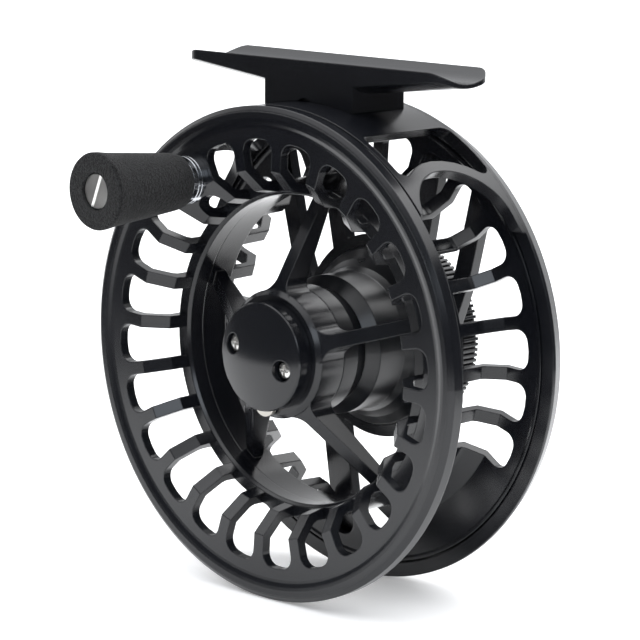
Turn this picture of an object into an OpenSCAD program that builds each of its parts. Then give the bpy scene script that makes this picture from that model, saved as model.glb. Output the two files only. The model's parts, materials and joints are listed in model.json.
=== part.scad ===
// Large-arbour fly reel: half frame with a disc drag, ported spool, crank grip and rod foot.
// Millimetres, +Z up. The spool turns about Y and its open face looks along -Y.
// The origin is the middle of the foot's seat, where the rod blank lies.

/* [Spool] */
// Outer radius of the front rim that covers the frame bridge
rim_radius = 47.2; // [47.0:0.1:47.4]
// Radius of the rear rim, which turns inside the frame ring
rear_rim_radius = 44.1; // [43.8:0.1:44.1]
// Inner radius of the arbour wall
arbour_inner = 29.8; // [29.5:0.1:30.0]
// Outer radius of the arbour, under the line
arbour_outer = 32.6; // [32.5:0.1:32.8]
// Number of ports around each flange
port_count = 24; // [20:2:26]
// Direction of the first port, from +X towards +Z
port_start = 19; // [18:0.5:20]
// Radius where the ports end
port_outer = 41.0; // [40.5:0.1:41.2]
// Corner radius of the ports' outer ends
port_corner = 2.4; // [1.8:0.1:3.0]
// Width of the rib between two ports
rib_width = 2.5; // [2.2:0.1:2.8]
// Number of spokes
spoke_count = 5; // [4:1:6]
// Direction of the first spoke
spoke_start = 16.5; // [15:0.5:18]
// Width of a spoke
spoke_width = 2.8; // [2.4:0.1:3.4]
// Radius of the hub barrel
hub_radius = 12.3; // [12.0:0.1:12.6]

/* [Frame] */
// Front of the bridge shell
bridge_front = 3.5; // [3.4:0.1:3.8]
// Inner radius of the bridge shell
bridge_inner = 44.8; // [44.6:0.1:45.0]
// Front of the frame ring
ring_front = 28; // [27.8:0.1:28.2]
// Front of the back plate
plate_front = 31; // [30.9:0.1:31.2]
// Thickness of the back plate's beams
plate_thickness = 2.3; // [2.0:0.1:2.6]
// Radius of the arches under the bridge arms
arch_radius = 11.4; // [11:0.1:11.8]
// Direction of the arches' centres
arch_angle = 36.8; // [36:0.2:38]

/* [Foot] */
// Length of the foot along the rod
foot_length = 68; // [60:1:72]
// Width of the foot across the rod
foot_width = 14.15; // [13.6:0.05:14.6]
// Depth of the seat's trough
seat_depth = 2.4; // [2.0:0.1:2.6]
// Radius of the seat's trough
seat_radius = 11.6; // [11:0.1:13]
// Height of the foot's upper edges over the spool axis
foot_top = 55; // [54.5:0.1:55.5]

/* [Handle] */
// Distance of the grip's axis from the spool axis
crank_radius = 37.9; // [37.6:0.1:38.2]
// Direction of the grip's axis
crank_angle = 124; // [123.5:0.1:124.5]
// Free end of the grip in front of the rim
grip_end = 23.7; // [22.5:0.1:24.5]
// Largest radius of the grip
grip_radius = 7.35; // [7.2:0.05:7.5]

/* [Drag] */
// Radius of the adjusting knob
knob_radius = 18; // [17:0.5:19]
// Number of grooves around the knob
knob_grooves = 104; // [72:4:112]
// Clearance between a shaft and its bore
running_gap = 0.03; // [0.02:0.01:0.06]

/* [Hidden] */
$fn = 96;

seat_height = foot_top - seat_depth;
foot_middle = 18.3;
foot_front = foot_middle - foot_width / 2;
port_pitch = 360 / port_count;
boss_port = 124;
boss_port_outer = 33.8;
boss_radius = 4.4;
front_port_end = 8.5;
rear_port_end = 19.5;
seam_middle = 12.5;
seam_groove = 0.2;
core_back = 18.75;
core_inner = 30;
rear_inner = 31;
spool_back = 30.2;
plate_back = plate_front + plate_thickness;
hub_disc_radius = 20;
hub_disc_back = 34.8;
spindle_radius = 2.5;
drive_radius = 5;
latch_angle = 264;
latch_travel = 1.2;
latch_width = 5.2;
cap_radius = 10.4;
cap_back = 1.95;
cap_screw_spots = [[6.3, -1.75], [-6.65, 1.8]];
cap_screw_head = 1.8;
drum_inner = 12;
pin_circle = 6.5;
pin_radius = 1.2;
housing_screw_circle = 14.7;
foot_screw_offset = 6;
knob_front = 35.5;
knob_back = 41;
knob_groove_depth = 0.6;
knob_groove_width = 0.5;
nut_radius = 9;
arch_y = 15.3;
grip_bore = 2;
slot_side = 0.5;
head_front = 0.5 - grip_end;
collar_front = -2.3;

// ---- shared drawing helpers ----

module place() translate([0, -foot_middle, -seat_height]) children();

module turned(points) rotate([-90, 0, 0]) rotate_extrude() polygon(points);

module slab(from_y, to_y) translate([0, to_y, 0]) rotate([90, 0, 0]) linear_extrude(to_y - from_y) children();

module rod(radius, from_y, to_y)
    translate([0, from_y, 0]) rotate([-90, 0, 0]) cylinder(r = radius, h = to_y - from_y);

module tube(outer, inner, from_y, to_y)
    slab(from_y, to_y) difference() {
        circle(outer);
        circle(inner);
    }

module swing(angle) rotate([0, -angle, 0]) children();

module outward(angle) swing(angle) rotate([0, 90, 0]) children();

module at_crank() translate([crank_radius * cos(crank_angle), 0, crank_radius * sin(crank_angle)]) children();

module both_sides() {
    children();
    mirror([1, 0, 0]) children();
}

module rounded_bar(x, y, radius) {
    square([x - 2 * radius, y], center = true);
    square([x, y - 2 * radius], center = true);
    for (sx = [-1, 1], sy = [-1, 1]) translate([sx * (x / 2 - radius), sy * (y / 2 - radius)]) circle(radius);
}

module beam(from, to, width) {
    run = to - from;
    translate(from) rotate(atan2(run[1], run[0])) translate([0, -width / 2]) square([norm(run), width]);
    translate(to) circle(width / 2 + 0.05);
}

module cross_slot(size, depth) {
    cube([size, depth, size * 0.25], center = true);
    cube([size * 0.25, depth, size], center = true);
}

// ---- spool ----

module port_wedge(inner, outer) {
    half = port_pitch / 2;
    edge = rib_width / 2 / cos(half);
    polygon([
        [inner, inner * tan(half) - edge],
        [outer, outer * tan(half) - edge],
        [outer, -outer * tan(half) + edge],
        [inner, -inner * tan(half) + edge]
    ]);
}

module port_shape(inner, outer) {
    offset(r = port_corner, $fn = 32) offset(delta = -port_corner) intersection() {
        port_wedge(inner, outer + 1);
        circle(outer);
    }
    port_wedge(inner, outer - port_corner - 1);
}

module port_ring(skipped) {
    for (i = [0 : port_count - 1]) {
        angle = port_start + i * port_pitch;
        if (len([for (s = skipped) if (abs((angle - s + 540) % 360 - 180) < port_pitch / 2) s]) == 0)
            rotate(angle) port_shape(arbour_inner - 2.5, port_outer);
    }
}

// Plan of one spoke along X, with a fillet on each side of its foot
module spoke_plan(root, reach) {
    fillet = 3;
    rise = spoke_width / 2 + fillet;
    run = sqrt(pow(hub_radius + fillet, 2) - pow(rise, 2));
    translate([root, -spoke_width / 2]) square([reach - root, spoke_width]);
    difference() {
        translate([root, -rise * 0.8]) square([run - root, rise * 1.6]);
        for (side = [-1, 1]) {
            translate([run - 0.02, side * (rise - 0.02)]) circle(fillet, $fn = 64);
            translate([run - fillet * 0.62, side > 0 ? rise * 0.52 : -rise * 0.52 - 2]) square([fillet, 2]);
        }
    }
}

module spoke() {
    root = hub_radius - 1.5;
    reach = core_inner + 0.6;
    intersection() {
        linear_extrude(24, center = true) polygon([
            [root, 2.1],
            [hub_radius, 3.0],
            [reach, 14.5],
            [reach, 16.7],
            [hub_radius, 8.6],
            [root, 8.6]
        ]);
        slab(0, 20) spoke_plan(root, reach);
    }
}

module front_wall() turned([
    [30.33, front_port_end],
    [31.0, 4.5],
    [35.0, 0.5],
    [43.0, 0.5],
    [43.6, 0.4],
    [44.3, 0.14],
    [45.0, 0],
    [46.1, 0],
    [46.2, 0.16],
    [46.35, 0.16],
    [rim_radius, 0.75],
    [rim_radius, 3.0],
    [44.6, 3.0],
    [44.0, 2.4],
    [35.8, 2.4],
    [33.0, 5.2],
    [arbour_outer, 6.2],
    [arbour_outer, front_port_end]
]);

// Arbour wall with the fine groove of its seam and a small step behind it
module arbour_wall() turned([
    [arbour_inner, front_port_end + 0.6],
    [30.33, front_port_end],
    [arbour_outer, front_port_end],
    [arbour_outer, core_back],
    [core_inner, core_back],
    [core_inner, seam_middle + seam_groove],
    [core_inner + 0.15, seam_middle],
    [arbour_inner, seam_middle - seam_groove]
]);

module spool_front() color("#1b1c20") place() difference() {
    union() {
        front_wall();
        at_crank() rod(boss_radius, 2.0, 3.9);
    }
    slab(-1, front_port_end + 1) port_ring([boss_port]);
    swing(boss_port) slab(-1, front_port_end + 1) port_shape(arbour_inner - 2.5, boss_port_outer);
    at_crank() rod(grip_bore, -1, 6);
}

module spool_core() color("#1b1c20") place() difference() {
    union() {
        arbour_wall();
        for (i = [0 : spoke_count - 1]) swing(spoke_start + i * 360 / spoke_count) spoke();
        turned([[4, 2], [11.4, 2], [hub_radius, 2.8], [hub_radius, 8.7], [4, 8.7]]);
    }
    rod(5.0, 1, 6.6);
    rod(7.0, 6.5, 10);
    rod(9.0, 7.2, 10);
    for (spot = cap_screw_spots) translate([spot[0], 0, spot[1]]) rod(0.8, 1, 5.6);
}

module spool_rear() color("#1b1c20") place() difference() {
    turned([
        [rear_inner, core_back],
        [arbour_outer, core_back],
        [arbour_outer, 24.6],
        [33.0, 25.4],
        [35.8, 28.2],
        [43.2, 28.2],
        [43.6, 28.0],
        [rear_rim_radius, 28.0],
        [rear_rim_radius, spool_back],
        [42.6, spool_back],
        [42.2, 29.9],
        [34.8, 29.9],
        [31.4, 26.4]
    ]);
    slab(rear_port_end, 32) port_ring([-41, -56, -71]);
}

module hub_sleeve() color("#23242a") place() difference() {
    turned([
        [7, 7.25],
        [8.98, 7.25],
        [8.98, 8.75],
        [hub_radius, 8.8],
        [hub_radius, 12.4],
        [11.3, 15.4],
        [7, 15.4]
    ]);
    rod(7.0, 6, 11.5);
    rod(7.5, 11.3, 16);
}

// Domed cap, hollow behind, with a sunk seat for each screw and a notch for the release tab
module hub_cap() color("#202126") place() difference() {
    dome = 35.7;
    top = -2.8;
    intersection() {
        turned([
            [0, top - 1],
            [8.25, top - 1],
            [cap_radius, -1.05],
            [cap_radius, cap_back],
            [0, cap_back]
        ]);
        translate([0, top + dome, 0]) sphere(dome, $fn = 200);
    }
    difference() {
        rod(8.9, -0.35, 3);
        for (spot = cap_screw_spots) translate([spot[0], 0, spot[1]]) rod(2.8, -1, 4);
    }
    swing(latch_angle) translate([7, 0.65, -latch_width / 2 - 0.1]) cube([6, 1.5, latch_width + 0.2]);
    for (spot = cap_screw_spots) translate([spot[0], 0, spot[1]]) {
        rod(0.85, -3, 3);
        rod(cap_screw_head + 0.2, -4, -0.1);
    }
}

module cap_screws() color("#d9d9d6") place()
    for (spot = cap_screw_spots) translate([spot[0], 0, spot[1]]) difference() {
        turned([
            [0, -1.42],
            [0.9, -1.36],
            [1.45, -1.16],
            [cap_screw_head, -0.8],
            [cap_screw_head, -0.1],
            [0.78, -0.1],
            [0.78, 5.4],
            [0, 5.4]
        ]);
        translate([0, -1.3, 0]) cross_slot(2.1, 1.1);
    }

module release_latch() color("#c9c6bd") place() swing(latch_angle) difference() {
    slab(0.75, 1.65) difference() {
        union() {
            translate([-5.4, -latch_width / 2]) square([14.7, latch_width]);
            translate([9.3, 0]) circle(latch_width / 2 - 0.01);
        }
        circle(2.05);
        translate([latch_travel, 0]) circle(2.7);
    }
}

module latch_spring() color("#b9bcc0") place() swing(latch_angle)
    translate([-8.6, 1.25, 0]) rotate([0, 90, 0])
        linear_extrude(3.1, twist = -1080, slices = 48) translate([0.45, 0]) circle(0.2, $fn = 12);

module bearing(inner, outer, from_y, to_y) {
    wall = (outer - inner) * 0.28;
    shield = 0.25;
    tube(inner + wall, inner, from_y, to_y);
    tube(outer, outer - wall, from_y, to_y);
    tube(outer - wall, inner + wall, from_y + shield, to_y - shield);
}

module front_bearing() color("#c4c7cb") place() bearing(spindle_radius + running_gap, 4.98, 2.3, 6.3);

module one_way_clutch() color("#b4b8bc") place() {
    tube(6.98, drive_radius + running_gap, 7.3, 11.2);
}

module rear_bearing() color("#c4c7cb") place() bearing(drive_radius + running_gap, 7.48, 11.5, 15.3);

// ---- handle ----

module handle_shaft() color("#c8c9c8") place() at_crank() difference() {
    turned([
        [0, head_front],
        [3.2, head_front],
        [3.4, head_front + 0.2],
        [3.4, head_front + 0.9],
        [grip_bore - 0.02, head_front + 0.9],
        [grip_bore - 0.02, 3.6],
        [0, 3.6]
    ]);
    translate([0, head_front, 0]) rotate([0, 22, 0]) rotate([0, 0, 45])
        cube([slot_side, slot_side, 8], center = true);
}

// Washer stack between the grip and the flange, with a fine groove round each joint
module handle_collar() color("#9da0a4") place() at_crank() difference() {
    turned([
        [0, 0.5],
        [4.6, 0.5],
        [4.6, -0.3],
        [4.4, -0.42],
        [4.6, -0.54],
        [4.6, -1.14],
        [4.4, -1.26],
        [4.6, -1.38],
        [4.5, collar_front],
        [0, collar_front]
    ]);
    rod(grip_bore, -4, 2);
}

module grip_sleeve() color("#2a2b2e") place() at_crank()
    tube(2.98, grip_bore + running_gap, head_front + 0.95, collar_front - 0.05);

module handle_grip() color("#141415") place() at_crank() difference() {
    turned([
        [0, -grip_end],
        [grip_radius - 0.45, -grip_end],
        [grip_radius - 0.15, -grip_end + 0.1],
        [grip_radius, -grip_end + 0.4],
        [grip_radius - 0.05, -grip_end + 1.2],
        [grip_radius - 0.4, -grip_end + 3.7],
        [6.5, -15],
        [6.05, -10],
        [5.65, -5.4],
        [5.5, -4.2],
        [5.2, -3.1],
        [4.5, collar_front - 0.05],
        [0, collar_front - 0.05]
    ]);
    rod(3.0, head_front + 0.9, 0);
    rod(3.55, -grip_end - 1, head_front + 0.93);
}

// ---- frame ----

module arch_cut() both_sides() outward(arch_angle) linear_extrude(60) {
    translate([0, arch_y]) circle(arch_radius);
    polygon([
        [0, arch_y - arch_radius],
        for (run = [0 : 1.25 : 10]) [run, arch_y + arch_radius + run * run / 42],
        [20, ring_front + 1.5],
        [20, bridge_front - 1],
        [0, bridge_front - 1]
    ]);
    translate([-2.6, bridge_front - 1]) square([4, 2.4]);
}

module window_cut() {
    pad_edge = 22.4;
    front_edge = 4.95;
    back_edge = 27.8;
    both_sides() outward(arch_angle) linear_extrude(60) offset(r = 1.6, $fn = 32) offset(delta = -1.6)
        difference() {
            translate([-pad_edge, front_edge]) square([pad_edge - 4, back_edge - front_edge]);
            translate([0, arch_y]) circle(14);
        }
}

module bridge() difference() {
    slab(bridge_front, ring_front + 0.4) intersection() {
        difference() {
            circle(rim_radius - 0.02);
            circle(bridge_inner);
        }
        translate([-60, bridge_inner * sin(arch_angle - 3)]) square([120, 60]);
    }
    arch_cut();
    window_cut();
    for (side = [-1, 1]) translate([side * foot_screw_offset, foot_middle, 0]) {
        cylinder(r = 1.55, h = 60);
        translate([0, 0, 43]) cylinder(r = 2.8, h = 2.0);
        translate([0, 0, 45]) cylinder(r1 = 2.8, r2 = 1.55, h = 1.25);
    }
}

module ring() turned([
    [44.5, ring_front],
    [rim_radius, ring_front],
    [rim_radius, ring_front + 0.7],
    [45.8, 31.7],
    [45.2, 32.4],
    [43.8, plate_back],
    [42.9, plate_back],
    [42.9, plate_front],
    [44.5, plate_front]
]);

module plate_beams() both_sides() {
    beam([9.3, 12], [15.7, 44], 4.2);
    beam([17, 2], [21.7, 14], 3.9);
    beam([21.7, 14], [24.1, 23.6], 3.9);
    beam([24.1, 23.6], [27.3, 37], 3.9);
    beam([12.8, -12], [7.8, -44], 6.1);
}

module frame() color("#191a1e") place() difference() {
    union() {
        ring();
        bridge();
        slab(plate_front, plate_back) intersection() {
            plate_beams();
            circle(43.6);
        }
        turned([
            [0, plate_front],
            [hub_disc_radius, plate_front],
            [hub_disc_radius, plate_back],
            [17.4, hub_disc_back],
            [0, hub_disc_back]
        ]);
    }
    rod(spindle_radius + 0.01, 20, 50);
    for (i = [0 : 2]) swing(90 + i * 120) translate([pin_circle, 0, 0])
        rod(pin_radius + running_gap, 20, 50);
    for (i = [0 : 3]) swing(45 + i * 90) translate([housing_screw_circle, 0, 0]) {
        rod(1.1, 20, 50);
        rod(2.1, 33.2, 50);
    }
}

module foot_half(side) {
    fall = 2.6;
    reach = foot_length / 2 - 11.5;
    belly = 15.57;
    tip_under = foot_top - 1.4 - 1.7;
    intersection() {
        translate([side > 0 ? 0 : -foot_length, foot_front - 1, 30]) cube([foot_length, foot_width + 2, 40]);
        translate([side * foot_length / 2, foot_middle, tip_under + belly])
            rotate([0, side * (90 - atan2(fall, reach)) + 180, 0])
                translate([0, 0, -4]) cylinder(r = belly, h = foot_length / 2 + 6, $fn = 128);
    }
}

module foot_plan(from_z, to_z) translate([0, foot_middle, from_z])
    linear_extrude(to_z - from_z) rounded_bar(foot_length, foot_width, 3.8);

module reel_foot() color("#1d1e22") place() difference() {
    union() {
        intersection() {
            foot_plan(40, foot_top);
            union() {
                foot_half(1);
                foot_half(-1);
            }
        }
        translate([0, foot_middle, 47.5]) cube([23, foot_width, 7], center = true);
    }
    translate([-60, foot_middle, foot_top - seat_depth + seat_radius]) rotate([0, 90, 0])
        cylinder(r = seat_radius, h = 120, $fn = 128);
    rod(rim_radius, 0, 40);
    translate([-1, foot_front, rim_radius - 2.05]) rotate([90, 0, 0])
        cylinder(r = 2.65, h = 1.6, center = true);
    for (side = [-1, 1]) translate([side * foot_screw_offset, foot_middle, 40]) cylinder(r = 1.5, h = 9.6);
}

module foot_screws() color("#8e9094") place()
    for (side = [-1, 1]) translate([side * foot_screw_offset, foot_middle, 0]) difference() {
        union() {
            translate([0, 0, 44.3]) cylinder(r = 2.7, h = 0.7);
            translate([0, 0, 45]) cylinder(r1 = 2.7, r2 = 1.47, h = 1.2);
            translate([0, 0, 45]) cylinder(r = 1.47, h = 4.4);
        }
        translate([0, 0, 44]) cylinder(r = 1.1, h = 1.3, $fn = 6);
    }

// ---- drag ----

module spindle() color("#b9bbbd") place() difference() {
    turned([
        [0, -0.2],
        [1.9, -0.2],
        [2.4, 0.2],
        [2.4, 0.68],
        [1.95, 0.68],
        [1.95, 1.72],
        [spindle_radius, 1.9],
        [spindle_radius, 39.2],
        [0, 39.2]
    ]);
    rod(1.25, 33, 45);
}

module drag_hub() color("#a9abae") place() difference() {
    turned([[0, 7.4], [drive_radius, 7.4], [drive_radius, 17.9], [11.5, 17.9], [11.5, 19.4], [0, 19.4]]);
    rod(spindle_radius + running_gap, 5, 30);
    for (i = [0 : 5]) swing(30 + i * 60) translate([8.4, 0, 0]) rod(1.1, 17, 30);
}

module drag_seal() color("#111111") place() tube(6.95, drive_radius + 0.02, 16.0, 17.3);

module drag_housing() color("#202126") place() difference() {
    turned([
        [0, 15.5],
        [11.3, 15.5],
        [13.5, 17.5],
        [13.5, 24.25],
        [14.2, 25.9],
        [15.6, 27.9],
        [17.2, 29.3],
        [17.7, 30.4],
        [17.7, plate_front],
        [0, plate_front]
    ]);
    rod(drive_radius + 0.3, 10, 40);
    rod(6.97, 15.95, 40);
    rod(drum_inner, 17.5, 40);
    for (i = [0 : 3]) swing(45 + i * 90) translate([housing_screw_circle, 0, 0]) rod(1.0, 27.4, 40);
}

module housing_screws() color("#8e9094") place()
    for (i = [0 : 3]) swing(45 + i * 90) translate([housing_screw_circle, 0, 0]) difference() {
        union() {
            rod(0.98, 27.6, 33.3);
            rod(1.95, 33.25, 34.5);
        }
        translate([0, 34.6, 0]) cross_slot(2.2, 1.2);
    }

module disc(outer, inner, from_y, to_y, notches) slab(from_y, to_y) difference() {
    circle(outer);
    circle(inner);
    for (i = [0 : notches - 1]) rotate(i * 360 / notches) translate([outer, 0])
        square([1.6, 2.2], center = true);
}

module carbon_discs() color("#2b2d30") place()
    for (i = [0 : 2]) disc(11.5, 3.4, 19.45 + i * 1.6, 20.2 + i * 1.6, 0);

module steel_discs() color("#b8babd") place()
    for (i = [0 : 1]) disc(11.8, 3.4, 20.25 + i * 1.6, 21.0 + i * 1.6, 4);

module pressure_plate() color("#a4a7ab") place() disc(11.8, 2.6, 23.45, 25.0, 4);

module spring_washers() color("#c0a868") place() for (i = [0 : 3]) {
    base = 25.05 + i * 0.64;
    lean = i % 2 == 0 ? 0.22 : 0;
    turned([
        [3.6, base + lean],
        [8.2, base + 0.22 - lean],
        [8.2, base + 0.62 - lean],
        [3.6, base + 0.4 + lean]
    ]);
}

module thrust_ring() color("#a4a7ab") place() tube(8.6, 3.2, 27.65, 28.65);

module push_pins() color("#b9bbbd") place()
    for (i = [0 : 2]) swing(90 + i * 120) translate([pin_circle, 0, 0]) rod(pin_radius, 28.65, 36.0);

module drag_nut() color("#b08d4a") place() difference() {
    rod(nut_radius, 36.0, 38.2);
    rod(3.2, 30, 45);
}

module knob_outline() difference() {
    circle(knob_radius);
    for (i = [0 : knob_grooves - 1]) rotate(i * 360 / knob_grooves)
        translate([knob_radius, 0]) square([knob_groove_depth * 2, knob_groove_width], center = true);
}

module drag_knob() color("#1b1c20") place() difference() {
    union() {
        slab(knob_front + 0.5, knob_back - 0.8) knob_outline();
        turned([[0, knob_front], [16.8, knob_front], [17.3, knob_front + 0.6], [0, knob_front + 0.6]]);
        turned([[0, knob_back - 0.9], [17.3, knob_back - 0.9], [16.6, knob_back], [0, knob_back]]);
    }
    rod(nut_radius + running_gap, 30, 38.9);
    rod(spindle_radius + running_gap, 30, 45);
    rod(5.2, 39.5, 45);
    tube(14.6, 12.4, 30, knob_front + 0.6);
    turned([[10.5, knob_back + 1], [10.5, knob_back - 0.5], [12.2, knob_back - 0.7], [14.2, knob_back - 0.5],
        [14.2, knob_back + 1]]);
}

module knob_seal() color("#111111") place() rotate([-90, 0, 0]) rotate_extrude()
    translate([13.5, knob_front + 0.02]) circle(0.55, $fn = 24);

module knob_washer() color("#c4c7cb") place() tube(4.9, 1.5, 39.55, 40.1);

module knob_screw() color("#c8c9c8") place() difference() {
    turned([
        [0, 34],
        [1.2, 34],
        [1.2, 39.2],
        [1.45, 39.2],
        [1.45, 40.1],
        [3.2, 40.1],
        [3.2, 41.0],
        [2.7, 41.4],
        [0, 41.4]
    ]);
    slab(40.6, 42) circle(1.3, $fn = 6);
}

frame();
reel_foot();
foot_screws();
spool_front();
spool_core();
spool_rear();
hub_sleeve();
hub_cap();
cap_screws();
release_latch();
latch_spring();
front_bearing();
one_way_clutch();
rear_bearing();
spindle();
drag_hub();
drag_seal();
drag_housing();
housing_screws();
carbon_discs();
steel_discs();
pressure_plate();
spring_washers();
thrust_ring();
push_pins();
drag_nut();
drag_knob();
knob_seal();
knob_washer();
knob_screw();
handle_shaft();
handle_collar();
grip_sleeve();
handle_grip();
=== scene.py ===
"""Looks of the fly reel: black anodised frame and spool, foam grip, bright screws, white studio."""
import json
import math

import bpy
from mathutils import Matrix, Vector


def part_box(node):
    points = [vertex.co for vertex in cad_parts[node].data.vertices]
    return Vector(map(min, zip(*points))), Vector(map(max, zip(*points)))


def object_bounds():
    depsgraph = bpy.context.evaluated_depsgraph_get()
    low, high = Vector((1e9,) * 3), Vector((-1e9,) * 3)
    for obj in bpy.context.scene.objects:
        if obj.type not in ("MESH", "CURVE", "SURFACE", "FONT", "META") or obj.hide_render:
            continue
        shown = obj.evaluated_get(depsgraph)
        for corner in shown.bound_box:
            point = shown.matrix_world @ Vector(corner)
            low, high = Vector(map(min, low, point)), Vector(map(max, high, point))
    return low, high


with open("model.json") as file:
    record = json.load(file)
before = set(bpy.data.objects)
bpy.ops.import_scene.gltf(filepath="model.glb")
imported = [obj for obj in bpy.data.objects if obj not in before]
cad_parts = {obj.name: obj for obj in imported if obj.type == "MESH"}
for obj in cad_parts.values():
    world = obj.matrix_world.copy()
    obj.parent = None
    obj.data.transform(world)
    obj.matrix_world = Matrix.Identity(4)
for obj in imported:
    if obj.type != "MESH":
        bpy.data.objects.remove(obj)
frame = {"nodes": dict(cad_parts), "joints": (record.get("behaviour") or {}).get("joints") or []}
cad_low, cad_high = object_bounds()
NODES = frame["nodes"]
JOINTS = {joint["name"]: joint for joint in frame["joints"]}

AXIS = Vector(JOINTS["spool_spin"]["pos_m"])
RIM_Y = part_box("spool_front")[0].y

# The camera, in degrees, metres and millimetres of lens, and its aim from the middle of the rim.
VIEW_AZIMUTH = 44.13
VIEW_ELEVATION = 10.22
VIEW_ROLL = 0.279
VIEW_DISTANCE = 0.5973
VIEW_LENS = 178.4
SENSOR_WIDTH = 36.0
AIM_RIGHT = 0.01033
AIM_UP = 0.00682

# The white room: the floor's shape in metres, and how brightly each part of the room glows.
FLOOR_GAP = 0.0001
FLOOR_FRONT = 0.32
FLOOR_LENGTH = 12.0
FLOOR_NEAR_HALF = 0.15
FLOOR_FAR_HALF = 2.8
FLOOR_GLOW = 0.27
ROOM_GLOW = 0.085
PAPER_WHITE = 1.1
BEYOND_REEL = (-0.69, 0.72, 0.0)
BESIDE_REEL = (-0.70, -0.70, -0.1)

# How deep each surface's relief is, in metres.
GRAIN_HEIGHT = 0.000004
POLISH_HEIGHT = 0.000003
PORE_HEIGHT = 0.0002
MOULD_HEIGHT = 0.00002


# ---- node helpers ----

class Nodes:
    """Short calls for building one node tree."""

    def __init__(self, tree):
        self.tree = tree

    def add(self, kind, **settings):
        made = self.tree.nodes.new(kind)
        for name, value in settings.items():
            setattr(made, name, value)
        return made

    def join(self, source, target):
        self.tree.links.new(source, target)

    def feed(self, value, socket):
        if isinstance(value, bpy.types.NodeSocket):
            self.join(value, socket)
        else:
            socket.default_value = value

    def math(self, operation, a, b=0.0):
        made = self.add("ShaderNodeMath", operation=operation)
        self.feed(a, made.inputs[0])
        self.feed(b, made.inputs[1])
        return made.outputs[0]

    def place(self):
        return self.add("ShaderNodeTexCoord").outputs["Object"]

    def noise(self, scale, detail=2.0, rough=0.5, vector=None):
        made = self.add("ShaderNodeTexNoise")
        made.inputs["Scale"].default_value = scale
        made.inputs["Detail"].default_value = detail
        made.inputs["Roughness"].default_value = rough
        self.join(vector or self.place(), made.inputs["Vector"])
        return made.outputs["Fac"]

    def spread(self, value, low, high, from_low=0.0, from_high=1.0):
        made = self.add("ShaderNodeMapRange")
        self.feed(value, made.inputs["Value"])
        made.inputs["From Min"].default_value = from_low
        made.inputs["From Max"].default_value = from_high
        made.inputs["To Min"].default_value = low
        made.inputs["To Max"].default_value = high
        return made.outputs["Result"]

    def blend(self, factor, first, second):
        made = self.add("ShaderNodeMix", data_type="RGBA")
        self.feed(factor, made.inputs["Factor"])
        self.feed(first, made.inputs[6])
        self.feed(second, made.inputs[7])
        return made.outputs[2]

    def bump(self, height, distance, strength=1.0, normal=None):
        made = self.add("ShaderNodeBump")
        made.inputs["Strength"].default_value = strength
        made.inputs["Distance"].default_value = distance
        self.feed(height, made.inputs["Height"])
        if normal is not None:
            self.join(normal, made.inputs["Normal"])
        return made.outputs["Normal"]

    def soft_edge(self, radius):
        made = self.add("ShaderNodeBevel", samples=4)
        made.inputs["Radius"].default_value = radius
        return made.outputs["Normal"]


def new_material(name):
    made = bpy.data.materials.new(name)
    made.use_nodes = True
    tree = made.node_tree
    tree.nodes.clear()
    work = Nodes(tree)
    shader = work.add("ShaderNodeBsdfPrincipled")
    output = work.add("ShaderNodeOutputMaterial")
    work.join(shader.outputs[0], output.inputs["Surface"])
    return made, work, shader


# ---- materials ----

def anodised(name, tint=(0.0062, 0.0069, 0.0088), rough=0.24, grain_depth=0.25, edge=0.00036):
    """Black dyed aluminium: dark body, satin gloss and a faint blasting grain."""
    made, work, shader = new_material(name)
    cloud = work.noise(90.0, 3.0)
    deep = (tint[0] * 0.75, tint[1] * 0.75, tint[2] * 0.8, 1)
    light = (tint[0] * 1.3, tint[1] * 1.3, tint[2] * 1.3, 1)
    work.join(work.blend(cloud, deep, light), shader.inputs["Base Color"])
    work.join(work.spread(cloud, rough - 0.03, rough + 0.03, 0.3, 0.7), shader.inputs["Roughness"])
    shader.inputs["Metallic"].default_value = 0.0
    shader.inputs["IOR"].default_value = 1.5
    grain = work.noise(5000.0, 2.0, 0.6)
    work.join(work.bump(grain, GRAIN_HEIGHT, grain_depth, work.soft_edge(edge)), shader.inputs["Normal"])
    return made


def bright_metal(name, tint, rough=0.22, edge=0.0001):
    """Turned or polished metal with a fine uneven lustre."""
    made, work, shader = new_material(name)
    cloud = work.noise(400.0, 3.0)
    dark = tuple(c * 0.86 for c in tint) + (1,)
    work.join(work.blend(cloud, dark, tuple(tint) + (1,)), shader.inputs["Base Color"])
    shader.inputs["Metallic"].default_value = 1.0
    work.join(work.spread(cloud, rough * 0.85, rough * 1.2, 0.3, 0.7), shader.inputs["Roughness"])
    grain = work.noise(4000.0, 2.0)
    work.join(work.bump(grain, POLISH_HEIGHT, 0.3, work.soft_edge(edge)), shader.inputs["Normal"])
    return made


def foam(name):
    """Dense closed-cell foam, ground smooth: fine pores over a dull black body."""
    made, work, shader = new_material(name)
    pores = work.add("ShaderNodeTexVoronoi", feature="F1")
    pores.inputs["Scale"].default_value = 2600.0
    work.join(work.place(), pores.inputs["Vector"])
    cell = work.spread(pores.outputs["Distance"], 0.0, 1.0, 0.05, 0.6)
    cloud = work.noise(1900.0, 4.0, 0.8)
    mixed = work.math("MULTIPLY", cell, work.spread(cloud, 0.0, 1.3, 0.35, 0.65))
    work.join(work.blend(mixed, (0.001, 0.001, 0.0012, 1), (0.02, 0.02, 0.021, 1)),
              shader.inputs["Base Color"])
    shader.inputs["Roughness"].default_value = 0.95
    shader.inputs["Specular IOR Level"].default_value = 0.25
    shader.inputs["Sheen Weight"].default_value = 0.1
    shader.inputs["Sheen Roughness"].default_value = 0.5
    work.join(work.bump(mixed, PORE_HEIGHT, 0.9), shader.inputs["Normal"])
    return made


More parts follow.
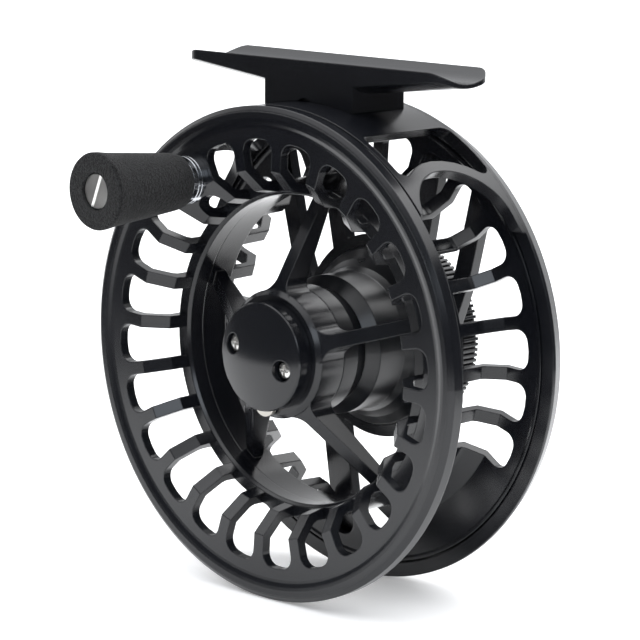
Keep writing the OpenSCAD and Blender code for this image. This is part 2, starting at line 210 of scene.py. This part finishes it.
def dull(name, tint, rough=0.55, grain=1500.0):
    """Moulded rubber, nylon or pressed carbon with a fine surface."""
    made, work, shader = new_material(name)
    cloud = work.noise(grain, 3.0)
    work.join(work.blend(cloud, tuple(c * 0.7 for c in tint) + (1,), tuple(tint) + (1,)),
              shader.inputs["Base Color"])
    work.join(work.spread(cloud, rough - 0.08, rough + 0.08), shader.inputs["Roughness"])
    work.join(work.bump(cloud, MOULD_HEIGHT, 0.4), shader.inputs["Normal"])
    return made


def paint(node, material):
    mesh = NODES[node].data
    mesh.materials.clear()
    mesh.materials.append(material)


def dress_nodes():
    """One material for each kind of part, on every node of the reel."""
    black = anodised("black_anodised")
    turned = anodised("black_turned", rough=0.2, grain_depth=0.06)
    glossy = anodised("black_gloss_turned", rough=0.16, grain_depth=0.05)
    satin = anodised("black_satin_turned", rough=0.3, grain_depth=0.1)
    steel = bright_metal("bright_steel", (0.72, 0.71, 0.69))
    pale = bright_metal("pale_latch", (0.80, 0.77, 0.71), 0.45)
    dark = bright_metal("dark_steel", (0.12, 0.12, 0.13), 0.35)
    brass = bright_metal("brass_nut", (0.70, 0.50, 0.22), 0.28)
    collar = bright_metal("polished_collar", (0.62, 0.64, 0.67), 0.14)
    shaft = bright_metal("grip_screw_steel", (0.78, 0.77, 0.75), 0.34, 0.00006)
    chosen = {
        black: ["reel_foot", "frame"],
        turned: ["spool_front", "spool_core", "spool_rear", "drag_knob"],
        glossy: ["hub_cap"],
        satin: ["hub_sleeve", "drag_housing"],
        steel: ["cap_screws", "latch_spring", "front_bearing", "one_way_clutch", "rear_bearing", "spindle",
                "drag_hub", "steel_discs", "pressure_plate", "thrust_ring", "push_pins", "knob_screw",
                "knob_washer", "spring_washers"],
        pale: ["release_latch"],
        dark: ["foot_screws", "housing_screws"],
        brass: ["drag_nut"],
        collar: ["handle_collar"],
        shaft: ["handle_shaft"],
        foam("black_foam"): ["handle_grip"],
        dull("seal_rubber", (0.015, 0.015, 0.016)): ["drag_seal", "knob_seal"],
        dull("nylon", (0.05, 0.05, 0.053), 0.45): ["grip_sleeve"],
        dull("pressed_carbon", (0.035, 0.036, 0.04), 0.4): ["carbon_discs"],
    }
    for material, nodes in chosen.items():
        for node in nodes:
            paint(node, material)


# ---- studio ----

def view_axes():
    """The picture's forward and right directions on the floor."""
    azimuth = math.radians(VIEW_AZIMUTH)
    forward = Vector((-math.sin(azimuth), math.cos(azimuth), 0))
    return forward, Vector((forward.y, -forward.x, 0))


def studio():
    """A paper floor that runs away behind the reel and is narrow beside it, so the room there stays dim."""
    floor_z = cad_low.z - FLOOR_GAP
    forward, right = view_axes()
    middle = (cad_low + cad_high) / 2
    start = Vector((middle.x, middle.y, floor_z)) - forward * FLOOR_FRONT
    far = start + forward * FLOOR_LENGTH
    corners = [start - right * FLOOR_NEAR_HALF, start + right * FLOOR_NEAR_HALF,
               far + right * FLOOR_FAR_HALF, far - right * FLOOR_FAR_HALF]
    mesh = bpy.data.meshes.new("studio_floor")
    mesh.from_pydata([tuple(corner) for corner in corners], [], [(0, 1, 2, 3)])
    floor = bpy.data.objects.new("studio_floor", mesh)
    bpy.context.scene.collection.objects.link(floor)
    made, work, shader = new_material("pale_paper")
    tone = work.blend(work.noise(30.0), (0.93, 0.93, 0.93, 1), (0.96, 0.96, 0.96, 1))
    work.join(tone, shader.inputs["Base Color"])
    work.join(tone, shader.inputs["Emission Color"])
    shader.inputs["Emission Strength"].default_value = FLOOR_GLOW
    shader.inputs["Roughness"].default_value = 1.0
    shader.inputs["Specular IOR Level"].default_value = 0.0
    mesh.materials.append(made)


def sky():
    """White to the camera; to the reel, a room bright above, behind and to the left, and dim in front."""
    world = bpy.data.worlds.new("studio")
    bpy.context.scene.world = world
    world.use_nodes = True
    tree = world.node_tree
    tree.nodes.clear()
    work = Nodes(tree)
    way = work.add("ShaderNodeTexCoord").outputs["Generated"]
    parts = work.add("ShaderNodeSeparateXYZ")
    work.join(way, parts.inputs[0])
    up = work.spread(parts.outputs["Z"], 0.0, 2.4, 0.5, 0.85)
    beyond = work.add("ShaderNodeVectorMath", operation="DOT_PRODUCT")
    work.join(way, beyond.inputs[0])
    beyond.inputs[1].default_value = BEYOND_REEL
    behind = work.spread(beyond.outputs["Value"], 0.0, 1.0, 0.35, 0.75)
    beside = work.add("ShaderNodeVectorMath", operation="DOT_PRODUCT")
    work.join(way, beside.inputs[0])
    beside.inputs[1].default_value = BESIDE_REEL
    left_front = work.spread(beside.outputs["Value"], 0.0, 0.05, 0.6, 0.95)
    dim = work.add("ShaderNodeBackground")
    dim.inputs["Color"].default_value = (0.97, 0.98, 1.0, 1)
    glow = work.math("MAXIMUM", work.math("MAXIMUM", up, behind), left_front)
    work.join(work.math("ADD", glow, ROOM_GLOW), dim.inputs["Strength"])
    white = work.add("ShaderNodeBackground")
    white.inputs["Color"].default_value = (1, 1, 1, 1)
    white.inputs["Strength"].default_value = PAPER_WHITE
    seen = work.add("ShaderNodeLightPath").outputs["Is Camera Ray"]
    pick = work.add("ShaderNodeMixShader")
    work.join(seen, pick.inputs[0])
    work.join(dim.outputs[0], pick.inputs[1])
    work.join(white.outputs[0], pick.inputs[2])
    output = work.add("ShaderNodeOutputWorld")
    work.join(pick.outputs[0], output.inputs["Surface"])


def softbox(name, where, size, power, target, colour=(1.0, 1.0, 1.0)):
    """A rectangular lamp aimed at the target, with its size in metres and its power in watts."""
    light = bpy.data.lights.new(name, "AREA")
    light.shape = "RECTANGLE"
    light.size, light.size_y = size
    light.energy = power
    light.color = colour
    made = bpy.data.objects.new(name, light)
    made.location = where
    made.rotation_mode = "QUATERNION"
    made.rotation_quaternion = (Vector(target) - Vector(where)).to_track_quat("-Z", "Y")
    bpy.context.scene.collection.objects.link(made)


def lights():
    """A large lamp overhead, a weak one at the left and a cool one in front at the right."""
    middle = (cad_low + cad_high) / 2
    softbox("top_box", middle + Vector((0.15, 0.45, 0.75)), (0.9, 0.9), 4.0, middle)
    softbox("left_box", middle + Vector((-0.9, -0.1, 0.6)), (0.4, 0.7), 0.6, middle)
    front = middle + Vector((0.62, -0.70, 0.42)) * 0.95
    softbox("front_box", front, (0.5, 0.36), 1.7, middle, (0.84, 0.91, 1.0))


def camera():
    """The viewing angle, distance and lens of the picture, about the middle of the rim."""
    azimuth = math.radians(VIEW_AZIMUTH)
    elevation = math.radians(VIEW_ELEVATION)
    roll = math.radians(VIEW_ROLL)
    away = Vector((math.sin(azimuth) * math.cos(elevation), -math.cos(azimuth) * math.cos(elevation),
                   math.sin(elevation)))
    level = Vector((math.cos(azimuth), math.sin(azimuth), 0))
    upright = away.cross(level)
    right = level * math.cos(roll) + upright * math.sin(roll)
    up = upright * math.cos(roll) - level * math.sin(roll)
    rim_middle = Vector((AXIS.x, RIM_Y, AXIS.z))
    aim = rim_middle + right * AIM_RIGHT + up * AIM_UP
    data = bpy.data.cameras.new("view")
    data.lens = VIEW_LENS
    data.sensor_width = SENSOR_WIDTH
    data.clip_start, data.clip_end = 0.01, 50.0
    made = bpy.data.objects.new("view", data)
    pose = Matrix((right, up, away)).transposed().to_4x4()
    pose.translation = aim + away * VIEW_DISTANCE
    made.matrix_world = pose
    bpy.context.scene.collection.objects.link(made)
    bpy.context.scene.camera = made
    bpy.context.scene.view_settings.view_transform = "Standard"


camera()
studio()
sky()
lights()
dress_nodes()
